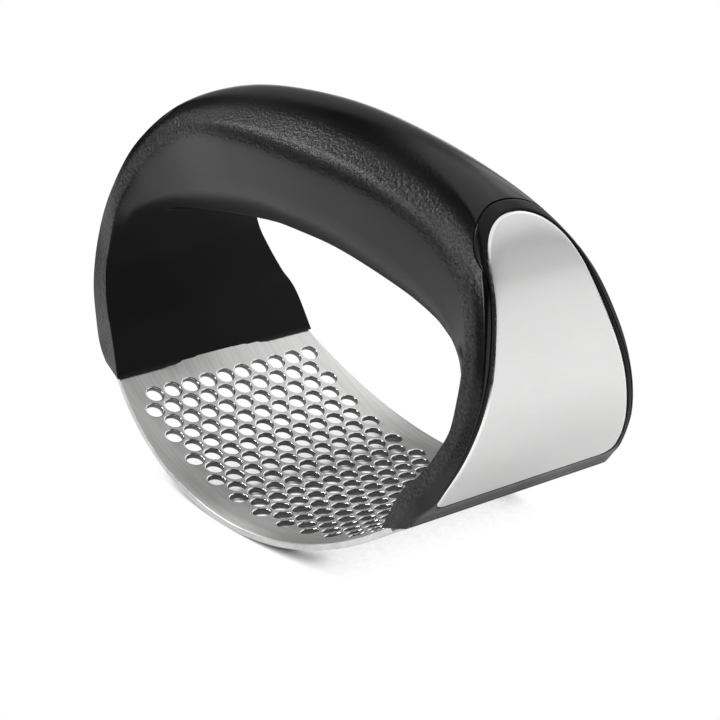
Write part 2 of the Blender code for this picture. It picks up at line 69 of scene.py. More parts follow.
# The handle's sections from a foot (share 0) to the crown (share 1): share, outer x, outer z,
# inner x, inner z, rim y, crease height as a share of the section, crease y, lower y, softness of
# the rim, softness of the crease, bulge of the side band.
SECTIONS = (
    (0.00, 45.0, 15.5, 39.4, 13.8, 21.7, 0.00, 22.5, 12.0, 0.06, 0.04, 0.0),
    (0.05, 46.4, 17.3, 42.2, 19.9, 21.7, 0.00, 21.6, 12.0, 0.06, 0.04, 0.0),
    (0.16, 49.8, 21.3, 46.1, 25.0, 20.5, 0.00, 20.2, 12.0, 0.06, 0.04, 0.0),
    (0.27, 53.4, 28.6, 48.5, 29.2, 18.7, 0.00, 18.9, 12.0, 0.06, 0.04, 0.0),
    (0.38, 55.0, 36.9, 49.7, 34.0, 16.3, 0.05, 17.4, 12.8, 0.07, 0.08, 0.0),
    (0.50, 53.7, 45.7, 45.7, 41.4, 14.0, 0.49, 15.1, 12.8, 0.12, 0.20, 0.2),
    (0.62, 49.4, 55.7, 38.2, 44.0, 10.7, 0.68, 12.4, 12.4, 0.22, 0.32, 0.4),
    (0.74, 41.6, 64.1, 26.8, 45.9, 5.6, 0.71, 11.0, 12.0, 0.36, 0.40, 0.6),
    (0.87, 24.0, 69.8, 10.7, 48.0, 2.3, 0.74, 11.9, 12.0, 0.46, 0.46, 0.6),
    (1.00, 0.0, 71.9, 0.0, 48.4, 2.6, 0.71, 12.5, 12.0, 0.50, 0.50, 0.6),
)
CORNER_STEPS = 8
FINE_CORNER_STEPS = 12
FLAT_STEPS = {0: 3, 1: 3, 2: 8, 3: 10, 4: 8, 5: 3, 6: 3, 7: 18}    # after each corner of a section
HANDLE_RINGS = 170      # from a foot to the crown

# The end stack of each foot, as depths under the handle's outer face.
END_THICK = 0.6
END_FLOOR = 0.9
BEZEL_START, BEZEL_TOP, BEZEL_ARCH, BEZEL_CORNER = 0.012, 0.7505, 11.0, 0.6
BEZEL_SIDES = (
    (0.00, 21.35), (0.05, 21.35), (0.16, 20.15), (0.27, 18.35), (0.38, 15.95), (0.50, 13.1),
    (0.56, 11.55), (0.62, 10.2), (0.76, 9.85),
)
END_PLATE_START, END_PLATE_TOP, END_PLATE_ARCH, END_PLATE_CORNER = 0.108, 0.7275, 12.0, 2.6
END_PLATE_SIDES = (
    (0.10, 19.4), (0.16, 19.1), (0.20, 18.8), (0.27, 17.4), (0.38, 14.9), (0.50, 12.35),
    (0.62, 9.75), (0.76, 9.5),
)
OUTLINE_SIDE_STEPS = 90
OUTLINE_BOTTOM_STEPS = 40
# Inset and depth of the pieces' edges, from the wall to the face.
BEZEL_EDGE = ((0.0, 0.15), (0.05, 0.05), (0.15, 0.0))
END_PLATE_EDGE = ((0.0, 0.16), (0.06, 0.10), (0.40, 0.015), (0.48, 0.0))
BEZEL_COLUMNS = 6

# The liner under the grip.
LINER_THICK = 1.3
LINER_START, LINER_END = 0.56, 0.995
LINER_INSET = 3.4
LINER_GAP = 0.3         # free depth above it
LINER_STEPS = 60
LINER_COLUMNS = 8

# The camera, as directions and distances from the frame's origin.
VIEW_AZIMUTH, VIEW_ELEVATION, VIEW_ROLL = 51.88, 21.436, 0.583
VIEW_DISTANCE = 0.38974
VIEW_LENS, VIEW_SENSOR = 107.60, 36.0
AIM_RIGHT, AIM_UP, AIM_HIGH = 0.003283, 0.022039, 0.0012

# The studio: round soft boxes as name, direction, half angle in degrees and radiance.
LIGHT_DISTANCE = 1.5
LIGHTS = (
    ("zenith", (0.0, 0.35, 0.93), 36, 0.80),
    ("back_left", (-0.73, 0.58, 0.36), 24, 0.26),
    ("key", (-0.73, -0.30, 0.57), 8, 14.0),
    ("front", (-0.25, -0.78, 0.50), 11, 7.0),
    ("right_back", (0.75, 0.62, 0.10), 28, 0.95),
    ("back", (-0.15, 0.95, 0.35), 26, 0.9),
)
LIGHT_AIM_HEIGHT = 0.035
FLOOR_SHADE, FLOOR_GLOW, WORLD_SHADE = 0.86, 0.42, 0.01
FLOOR_HALF_SIZE, FLOOR_DROP = 6.0, 0.00002
CONTACT_REACH, SHADE_REACH = 0.012, 0.07    # of the shadow under the plate and of the floor's glow


# ---- The handle's surface -----------------------------------------------------------------------

@functools.lru_cache(maxsize=None)
def station(share):
    """The section table's columns at this share, on a smooth curve that is level at the crown."""
    shares = [row[0] for row in SECTIONS]
    rows = [Vector(row[1:]) for row in SECTIONS]
    beyond = rows[-2].copy()
    beyond[0], beyond[2] = -beyond[0], -beyond[2]
    shares.append(2 - shares[-2])
    rows.append(beyond)

    def slope(i):
        if i == 0:
            return (rows[1] - rows[0]) / (shares[1] - shares[0])
        before, after = shares[i] - shares[i - 1], shares[i + 1] - shares[i]
        first = (rows[i] - rows[i - 1]) / before
        second = (rows[i + 1] - rows[i]) / after
        return (first * after + second * before) / (before + after)

    i = min(max(bisect.bisect_left(shares, share) - 1, 0), len(SECTIONS) - 2)
    span = shares[i + 1] - shares[i]
    u = (share - shares[i]) / span
    return ((2 * u**3 - 3 * u**2 + 1) * rows[i] + (u**3 - 2 * u**2 + u) * span * slope(i)
            + (-2 * u**3 + 3 * u**2) * rows[i + 1] + (u**3 - u**2) * span * slope(i + 1))


def smooth(u):
    u = min(max(u, 0.0), 1.0)
    return u * u * (3 - 2 * u)


@functools.lru_cache(maxsize=None)
def outline(share, steps=CORNER_STEPS, flats=True):
    """The closed section as (height, y, grain): grain is 1 on the textured side bands, where it also
    lightens the plastic's base colour, a painted sheen.
    """
    s = station(share)
    tall = math.hypot(s[0] - s[2], s[1] - s[3])
    rim, crease, lower = (tall, s[4]), (s[5] * tall, s[6]), (0.0, s[7])
    band = ((rim[0] + crease[0]) / 2, (rim[1] + crease[1]) / 2 + s[10])
    half = [(rim, s[8], "rim"), (band, 0.5, "band"), (crease, s[9], "crease"), (lower, 0.5, "lower")]
    corners = half + [((h, -y), soft, name) for (h, y), soft, name in reversed(half)]
    pieces = []
    for j, (corner, soft, name) in enumerate(corners):
        here = Vector(corner)
        start = here.lerp(Vector(corners[j - 1][0]), soft)
        end = here.lerp(Vector(corners[(j + 1) % len(corners)][0]), soft)
        arc = []
        for k in range(steps + 1):
            u = k / steps
            point = start.lerp(here, u).lerp(here.lerp(end, u), u)
            v = u if j < 4 else 1 - u
            grain_and_sheen = {"rim": 0.2 * smooth(v * 2 - 1), "band": 0.2 + 0.8 * smooth(v * 1.4),
                     "crease": 1 - 0.9 * smooth(v * 2.4 - 0.4), "lower": 0.0}[name]
            arc.append(Vector((point.x, point.y, grain_and_sheen)))
        pieces.append(arc)
    points = []
    for j, arc in enumerate(pieces):
        points += arc
        if flats:
            after = pieces[(j + 1) % len(pieces)][0]
            count = FLAT_STEPS[j]
            points += [arc[-1].lerp(after, k / (count + 1)) for k in range(1, count + 1)]
    return points


def place(share, height, y):
    s = station(share)
    inner, outer = Vector((s[2], 0, s[3])), Vector((s[0], 0, s[1]))
    point = inner + (outer - inner).normalized() * height
    point.y = y
    return point


def surface_height(share, y, outer):
    """The height of the outer or inner face of a section at this y."""
    points = outline(share, FINE_CORNER_STEPS, False)
    best = None
    for a, b in zip(points, points[1:] + points[:1]):
        low, high = min(a.y, b.y), max(a.y, b.y)
        if low <= y <= high and high > low:
            height = a.x + (b.x - a.x) * (y - a.y) / (b.y - a.y)
            if best is None or (height > best) == outer:
                best = height
    return best


@functools.lru_cache(maxsize=None)
def outward(share, outer):
    step = 0.004
    low, high = station(max(share - step, 0.0)), station(min(share + step, 1.0))
    k = 0 if outer else 2
    along = Vector((high[k] - low[k], 0, high[k + 1] - low[k + 1])).normalized()
    normal = Vector((along.z, 0, -along.x))
    return normal if outer else -normal


def on_face(share, y, depth, outer=True):
    return place(share, surface_height(share, y, outer), y) - outward(share, outer) * depth


def length_along(shares, outer=True):
    k = 0 if outer else 2
    total, last, lengths = 0.0, None, []
    for share in shares:
        here = station(share)
        here = Vector((here[k], here[k + 1]))
        total += (here - last).length if last else 0.0
        last = here
        lengths.append(total)
    return lengths


# ---- Meshes -------------------------------------------------------------------------------------

def mesh_object(name, bm, finishes, smooth_angle=40):
    bmesh.ops.recalc_face_normals(bm, faces=bm.faces)
    if bm.calc_volume(signed=True) < 0:
        bmesh.ops.reverse_faces(bm, faces=bm.faces)
    mesh = bpy.data.meshes.new(name)
    bm.to_mesh(mesh)
    bm.free()
    for finish in finishes:
        mesh.materials.append(finish)
    made = bpy.data.objects.new(name, mesh)
    bpy.context.scene.collection.objects.link(made)
    shade(made, smooth_angle)
    return made


def shade(thing, angle=40):
    thing.data.shade_smooth()
    thing.data.set_sharp_from_angle(angle=math.radians(angle))


def stand_for(piece, node):
    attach(piece, "root")
    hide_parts(node)


def loft(rings):
    bm = bmesh.new()
    rows = [[bm.verts.new(Vector(p[:3]) * MM) for p in ring] for ring in rings]
    count = len(rows[0])
    for low, high in zip(rows, rows[1:]):
        for j in range(count):
            bm.faces.new((low[j], low[(j + 1) % count], high[(j + 1) % count], high[j]))
    bm.faces.new(reversed(rows[0]))
    bm.faces.new(rows[-1])
    bmesh.ops.remove_doubles(bm, verts=bm.verts, dist=MERGE * MM)
    return bm


def cut(target, cutters):
    """Takes the cutters' meshes from the target, and applies the result."""
    made = []
    for k, bm in enumerate(cutters):
        cutter = mesh_object(f"cutter_{k}", bm, [])
        step = target.modifiers.new(cutter.name, "BOOLEAN")
        step.operation = "DIFFERENCE"
        step.solver = "MANIFOLD"
        step.object = cutter
        made.append(cutter)
    bpy.context.view_layer.update()
    ready = target.evaluated_get(bpy.context.evaluated_depsgraph_get())
    result = bpy.data.meshes.new_from_object(ready)
    target.modifiers.clear()
    bm = bmesh.new()
    bm.from_mesh(result)
    flakes = [face for face in bm.faces if all(len(vert.link_faces) < 3 for vert in face.verts)]
    bmesh.ops.delete(bm, geom=flakes, context="FACES")
    bm.to_mesh(target.data)
    bm.free()
    for cutter in made:
        bpy.data.objects.remove(cutter, do_unlink=True)


def mirrored(ring, sign):
    return [Vector((p.x * sign, p.y, p.z)) for p in ring]


def spread(low, high, count, squeeze=0.0):
    shares = []
    for k in range(count):
        u = k / (count - 1)
        shares.append(low + (high - low) * (u + (smooth(u) - u) * squeeze))
    return shares


def curve_through(table, share):
    """A smooth curve through (share, value) pairs."""
    xs = [row[0] for row in table]
    i = min(max(bisect.bisect_left(xs, share) - 1, 0), len(table) - 2)

    def slope(j):
        low, high = max(j - 1, 0), min(j + 1, len(table) - 1)
        return (table[high][1] - table[low][1]) / (xs[high] - xs[low])

    span = xs[i + 1] - xs[i]
    u = min(max((share - xs[i]) / span, 0.0), 1.0)
    return ((2 * u**3 - 3 * u**2 + 1) * table[i][1] + (u**3 - 2 * u**2 + u) * span * slope(i)
            + (-2 * u**3 + 3 * u**2) * table[i + 1][1] + (u**3 - u**2) * span * slope(i + 1))


def face_outline(sides, first, last, arch, corner=0.0, grow=0.0):
    """A closed outline on the foot's outer face as (share, y) pairs, bottom edge first."""
    shares = spread(first, last, OUTLINE_SIDE_STEPS, squeeze=0.96)
    lengths = length_along(shares)
    per_length = (last - first) / lengths[-1]
    side = []
    for share, s in zip(shares, lengths):
        width = curve_through(sides, share)
        if s < corner:
            width -= corner - math.sqrt(corner**2 - (corner - s) ** 2)
        left = lengths[-1] - s
        if left < arch:
            width *= math.sqrt(max(1 - (1 - left / arch) ** 2, 0.0))
        side.append(Vector((share / per_length, width)))
    bottom = [Vector((side[0].x, side[0].y * (2 * k / OUTLINE_BOTTOM_STEPS - 1)))
              for k in range(1, OUTLINE_BOTTOM_STEPS)]
    loop = bottom + side + [Vector((p.x, -p.y)) for p in reversed(side[:-1])]
    if grow:
        loop = grown(loop, grow)
    return [(p.x * per_length, p.y) for p in loop]


def grown(loop, distance):
    """The closed loop moved outwards by this distance; the loop runs anticlockwise in (y, x)."""
    moved = []
    for k, here in enumerate(loop):
        along = loop[(k + 1) % len(loop)] - loop[k - 1]
        if along.length < 1e-9:
            along = Vector((0, 1))
        along.normalize()
        moved.append(here + Vector((-along.y, along.x)) * distance)
    return moved


def face_slab(loops, sign, capped=True, highlight=()):
    """A body on the foot between (outline, depth) loops that follow each other over its surface.

    The walls whose numbers are listed in the last argument take the second material; on the steel ends
    that is a white steel which paints a highlight on their bevelled edges.
    """
    bm = bmesh.new()

    def vert(share, y, depth):
        p = on_face(share, y, depth)
        return bm.verts.new(Vector((p.x * sign, p.y, p.z)) * MM)

    rows = [[vert(share, y, depth) for share, y in loop] for loop, depth in loops]
    count = len(rows[0])
    pairs = list(zip(rows, rows[1:])) + ([] if capped else [(rows[-1], rows[0])])
    for k, (low, high) in enumerate(pairs):
        for j in range(count):
            face = bm.faces.new((low[j], low[(j + 1) % count], high[(j + 1) % count], high[j]))
            face.material_index = int(k in highlight)
    if capped:
        for row, (loop, depth) in ((rows[0], loops[0]), (rows[-1], loops[-1])):
            cap(bm, row, loop, depth, vert)
    bmesh.ops.remove_doubles(bm, verts=bm.verts, dist=MERGE * MM)
    return bm


def cap(bm, row, loop, depth, vert):
    """Closes an outline from face_outline with rows of faces that run from side to side."""
    columns, sides = OUTLINE_BOTTOM_STEPS, OUTLINE_SIDE_STEPS
    bottom, top = columns - 1, columns + sides - 2
    last = [row[-1]] + row[:bottom] + [row[bottom]]
    for k in range(1, sides - 1):
        right, left = bottom + k, len(row) - 1 - k
        share, half_width = loop[right]
        here = [row[left]]
        here += [vert(share, half_width * (2 * j / columns - 1), depth) for j in range(1, columns)]
        here.append(row[right])
        for j in range(columns):
            bm.faces.new((last[j], last[j + 1], here[j + 1], here[j]))
        last = here
    for j in range(columns):
        bm.faces.new((last[j], last[j + 1], row[top]))


def blend_loops(first, second, u):
    return [(a[0] + (b[0] - a[0]) * u, a[1] + (b[1] - a[1]) * u) for a, b in zip(first, second)]


# ---- Materials ----------------------------------------------------------------------------------

class Nodes:
    """A material with a Principled shader, and short calls for the nodes that feed it."""

    def __init__(self, name, colour, roughness, metallic=0.0):
        self.material = bpy.data.materials.new(name)
        self.material.use_nodes = True
        self.tree = self.material.node_tree
        self.shader = self.tree.nodes["Principled BSDF"]
        self.shader.inputs["Base Color"].default_value = (*colour, 1.0)
        self.shader.inputs["Roughness"].default_value = roughness
        self.shader.inputs["Metallic"].default_value = metallic
        self.coords = self.tree.nodes.new("ShaderNodeTexCoord").outputs["Object"]

    def link(self, output, target):
        self.tree.links.new(output, target)

    def attribute(self, name, output="Fac"):
        node = self.tree.nodes.new("ShaderNodeAttribute")
        node.attribute_name = name
        return node.outputs[output]

    def stretched(self, source, scale):
        node = self.tree.nodes.new("ShaderNodeMapping")
        node.inputs["Scale"].default_value = scale
        self.link(source, node.inputs["Vector"])
        return node.outputs["Vector"]

    def noise(self, source, scale, detail=3.0, roughness=0.5):
        node = self.tree.nodes.new("ShaderNodeTexNoise")
        node.inputs["Scale"].default_value = scale
        node.inputs["Detail"].default_value = detail
        node.inputs["Roughness"].default_value = roughness
        self.link(source, node.inputs["Vector"])
        return node.outputs["Fac"]

    def cells(self, source, scale):
        node = self.tree.nodes.new("ShaderNodeTexVoronoi")
        node.feature = "SMOOTH_F1"
        node.inputs["Scale"].default_value = scale
        node.inputs["Smoothness"].default_value = 0.6
        self.link(source, node.inputs["Vector"])
        return node.outputs["Distance"]

    def math(self, operation, a, b=None):
        node = self.tree.nodes.new("ShaderNodeMath")
        node.operation = operation
        for socket, value in zip(node.inputs, (a, b)):
            if value is None:
                continue
            if isinstance(value, (int, float)):
                socket.default_value = value
            else:
                self.link(value, socket)
        return node.outputs[0]

    def remap(self, value, low, high, to_low, to_high):
        node = self.tree.nodes.new("ShaderNodeMapRange")
        self.link(value, node.inputs["Value"])
        ends = {"From Min": low, "From Max": high, "To Min": to_low, "To Max": to_high}
        for name, number in ends.items():
            node.inputs[name].default_value = number
        return node.outputs["Result"]

    def open_share(self, distance):
        node = self.tree.nodes.new("ShaderNodeAmbientOcclusion")
        node.inputs["Distance"].default_value = distance
        return node.outputs["AO"]

    def mix(self, factor, a, b):
        node = self.tree.nodes.new("ShaderNodeMix")
        node.data_type = "RGBA"
        self.link(factor, node.inputs["Factor"])
        node.inputs["A"].default_value = (*a, 1.0)
        node.inputs["B"].default_value = (*b, 1.0)
        return node.outputs["Result"]

    def bump(self, height, distance, strength=1.0, normal=None):
        node = self.tree.nodes.new("ShaderNodeBump")
        node.inputs["Distance"].default_value = distance
        if isinstance(strength, (int, float)):
            node.inputs["Strength"].default_value = strength
        else:
            self.link(strength, node.inputs["Strength"])
        self.link(height, node.inputs["Height"])
        if normal:
            self.link(normal, node.inputs["Normal"])
        return node.outputs["Normal"]


def handle_plastic():
    """Black moulded plastic: spark texture where grain is 1, a soft satin elsewhere; where grain is high
    the base colour is lighter too, a painted sheen.
    """
    m = Nodes("handle_plastic", (0.014, 0.014, 0.015), 0.36)
    m.shader.inputs["Specular IOR Level"].default_value = 0.42
    grain_and_sheen, inside = m.attribute("grain_and_sheen"), m.attribute("inside")
    sparks = m.noise(m.coords, 2000.0, 4.0, 0.62)
    pits = m.cells(m.coords, 1700.0)
    height = m.math("ADD", sparks, m.math("MULTIPLY", pits, 0.6))
    drift = m.noise(m.coords, 90.0, 2.0)
    satin = m.noise(m.coords, 5200.0, 2.0)
    # Painted sheen: the base colour is lighter on the textured side band, by the square of grain, speckled
    # by the sparks, and near black elsewhere.
    band_sheen_mask = m.math("MULTIPLY", grain_and_sheen, grain_and_sheen)
    colour = m.mix(m.math("MULTIPLY", band_sheen_mask, m.remap(sparks, 0.35, 0.68, 0.0, 1.0)),
                   (0.003, 0.003, 0.0032), (0.055, 0.055, 0.057))
    m.link(colour, m.shader.inputs["Base Color"])
    rough = m.math("ADD", m.remap(drift, 0.3, 0.7, 0.20, 0.24), m.math("MULTIPLY", grain_and_sheen, 0.11))
    m.link(m.math("ADD", rough, m.math("MULTIPLY", inside, 0.6)), m.shader.inputs["Roughness"])
    fine = m.bump(satin, 0.00001, 0.25)
    m.link(m.bump(height, 0.00011, grain_and_sheen, fine), m.shader.inputs["Normal"])
    return m.material


def smooth_plastic():
    m = Nodes("smooth_plastic", (0.004, 0.004, 0.0043), 0.30)
    m.shader.inputs["Specular IOR Level"].default_value = 0.2
    drift = m.noise(m.coords, 120.0, 2.0)
    m.link(m.remap(drift, 0.3, 0.7, 0.24, 0.31), m.shader.inputs["Roughness"])
    m.link(m.bump(m.noise(m.coords, 4200.0, 2.0), 0.00001, 0.2), m.shader.inputs["Normal"])
    return m.material


def brushed_steel(name, colour, roughness, along, across, depth, contrast, stretch=0.0):
    """Steel with brush lines along the first axis of the attribute flat, which is in millimetres."""
    m = Nodes(name, colour, roughness, 1.0)
    flat = m.attribute("flat", "Vector")
    lines = m.noise(m.stretched(flat, (along, across, 1.0)), 1.0, 5.0, 0.7)
    wide = m.noise(m.stretched(flat, (along * 0.4, across * 0.12, 0.3)), 1.0, 3.0)
    clouds = m.noise(m.coords, 60.0, 3.0)
    mixed = m.math("ADD", m.math("MULTIPLY", lines, 0.7), m.math("MULTIPLY", wide, 0.3))
    dark = tuple(c * (1 - contrast) for c in colour)
    m.link(m.mix(m.remap(mixed, 0.35, 0.65, 0.0, 1.0), dark, colour), m.shader.inputs["Base Color"])
    rough = m.math("ADD", m.remap(mixed, 0.3, 0.7, roughness - 0.05, roughness + 0.05),
                   m.remap(clouds, 0.3, 0.7, -0.02, 0.03))
    m.link(rough, m.shader.inputs["Roughness"])
    m.link(m.bump(lines, depth, 0.5), m.shader.inputs["Normal"])
    if stretch:
        around = m.tree.nodes.new("ShaderNodeTangent")
        around.direction_type, around.axis = "RADIAL", "Y"
        m.link(around.outputs["Tangent"], m.shader.inputs["Tangent"])
        m.shader.inputs["Anisotropic"].default_value = stretch
        m.shader.inputs["Anisotropic Rotation"].default_value = 0.25
    return m.material


def highlight_steel():
    # Painted highlight: a white, smoother copy of the steel for rolled hole rims and bevelled plate edges.
    m = Nodes("steel_edge_painted_highlight", (1.0, 1.0, 0.99), 0.22, 1.0)
    m.link(m.remap(m.noise(m.coords, 900.0, 3.0), 0.3, 0.7, 0.18, 0.28), m.shader.inputs["Roughness"])
    return m.material


def plain_steel(name, colour, smoothest, roughest):
    m = Nodes(name, colour, roughest, 1.0)
    m.link(m.remap(m.noise(m.coords, 700.0, 3.0), 0.3, 0.7, smoothest, roughest),
           m.shader.inputs["Roughness"])
    return m.material


def foam():
    m = Nodes("adhesive_foam_finish", (0.72, 0.71, 0.66), 0.85)
    m.link(m.bump(m.cells(m.coords, 3000.0), 0.00008, 0.7), m.shader.inputs["Normal"])
    return m.material


# ---- The pieces ---------------------------------------------------------------------------------

def over_the_crown(shares):
    """These shares of one foot's side, the crown, and the same shares back down the other side."""
    return [(s, -1) for s in shares] + [(1.0, 1)] + [(s, 1) for s in reversed(shares)]


def strip_under_grip(narrow, top, bottom, start):
    """A slab along the grip's underside between two depths, narrower than the liner by this much."""
    rings = []
    for share, sign in over_the_crown([start + (LINER_END - start) * k / LINER_STEPS
                                       for k in range(LINER_STEPS + 1)]):
        s = station(share)
        width = min(s[7], s[6]) - LINER_INSET - narrow
        ys = [width * (2 * k / LINER_COLUMNS - 1) for k in range(LINER_COLUMNS + 1)]
        upper = [on_face(share, y, top, False) for y in ys]
        lower = [on_face(share, y, bottom, False) for y in reversed(ys)]
        rings.append(mirrored(upper + lower, sign))
    return loft(rings)


def plate_path():
    """The plate's bend from the middle outwards: (length, upper face, lower face)."""
    nodes = []
    low = PLATE_RADIUS + PLATE_THICK
    for k in range(PLATE_STEPS + 1):
        length = PLATE_HALF_LENGTH * k / PLATE_STEPS
        angle = length / PLATE_RADIUS
        up = Vector((math.sin(angle), 0, -math.cos(angle)))
        nodes.append((length, up * PLATE_RADIUS + Vector((0, 0, low)), up * low + Vector((0, 0, low))))
    for k in range(TAB_STEPS):
        share = TAB_START + (TAB_END - TAB_START) * k / (TAB_STEPS - 1)
        upper, lower = on_face(share, 0, TAB_DEPTH + PLATE_THICK), on_face(share, 0, TAB_DEPTH)
        nodes.append((nodes[-1][0] + (upper - nodes[-1][1]).length, upper, lower))
    return nodes


def bent(nodes, lengths, s, y, depth):
    side = math.copysign(1.0, s)
    s = min(abs(s), lengths[-1])
    k = min(max(bisect.bisect_left(lengths, s), 1), len(nodes) - 1)
    low, high = nodes[k - 1], nodes[k]
    u = (s - low[0]) / (high[0] - low[0])
    point = low[1].lerp(high[1], u).lerp(low[2].lerp(high[2], u), depth / PLATE_THICK)
    return Vector((side * point.x, y, point.z))


def plate_edge(s):
    fall = (PLATE_HALF_WIDTH - PLATE_END_HALF_WIDTH) / PLATE_HALF_LENGTH**2
    return PLATE_HALF_WIDTH - fall * s * s


def hole_centres():
    for row in range(ROWS):
        shift = PITCH / 4 if row % 2 == 0 else -PITCH / 4
        for column in range(HOLES_IN_ROW):
            across = (column - (HOLES_IN_ROW - 1) / 2) * PITCH + shift
            yield (row - (ROWS - 1) / 2) * ROW_STEP, across


def plate_boundary(inset, tab_end):
    """The sheet's outline in its flat layout, moved inwards by this much."""
    reach, tab = PLATE_HALF_LENGTH - inset, TAB_HALF_WIDTH - inset
    along = [reach * (2 * k / EDGE_STEPS - 1) for k in range(EDGE_STEPS + 1)]
    front = [(s, -plate_edge(s) + inset) for s in along]
    tabs = [reach + (tab_end - inset - reach) * k / TAB_EDGE_STEPS for k in range(TAB_EDGE_STEPS + 1)]
    right = [(s, -tab) for s in tabs] + [(s, tab) for s in reversed(tabs)]
    half = front + right
    return half + [(-s, -y) for s, y in half]


def press_plate(steel, highlight, wall_shade_steel):
    nodes = plate_path()
    lengths = [node[0] for node in nodes]
    points, edges, faces = [], [], []

    def loop(coords):
        first = len(points)
        points.extend(Vector(c) for c in coords)
        faces.append(list(range(first, len(points))))

    outer = plate_boundary(EDGE_PROFILE[0][0], lengths[-1])
    loop(outer)
    ladder = [PLATE_HALF_LENGTH * (2 * k / GUIDE_STEPS - 1) * 0.99 for k in range(GUIDE_STEPS + 1)]
    for sign in (-1, 1):
        for offset in GUIDE_OFFSETS:
            half_width = FIELD_HALF_WIDTH + offset
            first = len(points)
            points.extend(Vector((s, sign * min(half_width, plate_edge(s) - 0.5))) for s in ladder)
            edges.extend((first + k, first + k + 1) for k in range(len(ladder) - 1))
    turn = 2 * math.pi / HOLE_SIDES
    circle = [(math.cos(k * turn), math.sin(k * turn)) for k in range(HOLE_SIDES)]
    centres = list(hole_centres())
    for s, y in centres:
        loop([(s + HOLE_PROFILE[0][0] * c, y + HOLE_PROFILE[0][0] * d) for c, d in circle])
    flat, _, flat_faces, _, _, sources = geometry.delaunay_2d_cdt(points, edges, faces, 0, 1e-6)
    kept = [face for face, source in zip(flat_faces, sources) if source == [0]]

    bm = bmesh.new()
    layer = bm.verts.layers.float_vector.new("flat")

    def vert(s, y, depth):
        made = bm.verts.new(bent(nodes, lengths, s, y, depth) * MM)
        made[layer] = Vector((s, y, depth))
        return made

    upper = [vert(v.x, v.y, 0.0) for v in flat]
    lower = [vert(v.x, v.y, PLATE_THICK) for v in flat]
    for face in kept:
        bm.faces.new([upper[k] for k in face])
        bm.faces.new([lower[k] for k in reversed(face)])
    for s, y in centres:
        rows = [[vert(s + r * c, y + r * d, depth) for c, d in circle] for r, depth in HOLE_PROFILE]
        for k, (low, high) in enumerate(zip(rows, rows[1:])):
            for j in range(HOLE_SIDES):
                after = (j + 1) % HOLE_SIDES
                face = bm.faces.new((low[j], low[after], high[after], high[j]))
                # Deep wall stretches take the third material, a dark steel that paints shade inside the
                # holes; the other stretches take the second, a white steel that paints a highlight on the
                # rolled rims.
                face.material_index = 2 if k in HOLE_WALL else 1
    rows = [[vert(s, y, depth) for s, y in plate_boundary(inset, lengths[-1])]
            for inset, depth in EDGE_PROFILE]
    count = len(rows[0])
    for low, high in zip(rows, rows[1:]):
        for j in range(count):
            bm.faces.new((low[j], low[(j + 1) % count], high[(j + 1) % count], high[j]))
    bmesh.ops.delete(bm, geom=[v for v in bm.verts if not v.link_faces], context="VERTS")
    bmesh.ops.remove_doubles(bm, verts=bm.verts, dist=4 * MERGE * MM)
    plate = mesh_object("perforated_plate", bm, [steel, highlight, wall_shade_steel], 50)
    stand_for(plate, "press_plate")


def plate_slot(nodes, half_width, under, sign):
    rings = []
    for _, upper, lower in nodes:
        away = (upper - lower).normalized()
        top, low = upper + away * SEAM * 0.6, lower - away * under
        rings.append([Vector((p.x, y, p.z)) for p, y in (
            (top, half_width), (top, -half_width), (low, -half_width), (low, half_width))])
    past = (nodes[-1][1] - nodes[-2][1]).normalized() * SEAM
    rings.append([point + past for point in rings[-1]])
    return loft([mirrored(ring, sign) for ring in rings])


def handle_body(plastic):
    rings, grains, inwards = [], [], []
    for share, sign in over_the_crown([k / HANDLE_RINGS for k in range(HANDLE_RINGS)]):
        section = outline(share)
        rings.append(mirrored([place(share, p.x, p.y) for p in section], sign))
        grains += [p.z for p in section]
        facing = outward(share, False)
        inwards += [Vector((facing.x * sign, 0, facing.z))] * len(section)
    tree = kdtree.KDTree(len(grains))
    for k, point in enumerate(p for ring in rings for p in ring):
        tree.insert(point * MM, k)
    tree.balance()
    body = mesh_object("handle_body", loft(rings), [plastic])

    nodes = plate_path()
    shoulder = next(k for k, node in enumerate(nodes) if node[0] >= PLATE_HALF_LENGTH - 0.01)
    cutters = [strip_under_grip(-SEAM, -CUT_PAST, LINER_THICK + LINER_GAP, LINER_START - 0.001)]
    for _, sign in SIDES:
        seat = face_outline(BEZEL_SIDES, BEZEL_START, BEZEL_TOP, BEZEL_ARCH, BEZEL_CORNER, SEAM)
        cutters += [
            face_slab([(seat, -CUT_PAST), (seat, END_FLOOR)], sign),
            plate_slot(nodes[shoulder - FOOT_STEPS:shoulder + 1], PLATE_END_HALF_WIDTH + SEAM,
                       FOOT_SLOT_DEPTH, sign),
            plate_slot(nodes[shoulder:], TAB_HALF_WIDTH + SEAM, TAB_DEPTH - 0.3, sign),
        ]
    cut(body, cutters)
    nearest = [tree.find(vert.co)[1] for vert in body.data.vertices]
    insides = [smooth((vert.normal.dot(inwards[k]) - 0.1) / 0.7)
               for vert, k in zip(body.data.vertices, nearest)]
    for name, values in (("grain_and_sheen", [grains[k] for k in nearest]), ("inside", insides)):
        body.data.attributes.new(name, "FLOAT", "POINT").data.foreach_set("value", values)
    shade(body, 35)
    stand_for(body, "handle_shell")


def grip_liner(plastic):
    liner = mesh_object("grip_liner", strip_under_grip(0.0, 0.0, LINER_THICK, LINER_START), [plastic])
    stand_for(liner, "handle_liner")


def end_plate_loop(grow=0.0):
    return face_outline(END_PLATE_SIDES, END_PLATE_START, END_PLATE_TOP, END_PLATE_ARCH,
                        END_PLATE_CORNER, grow)


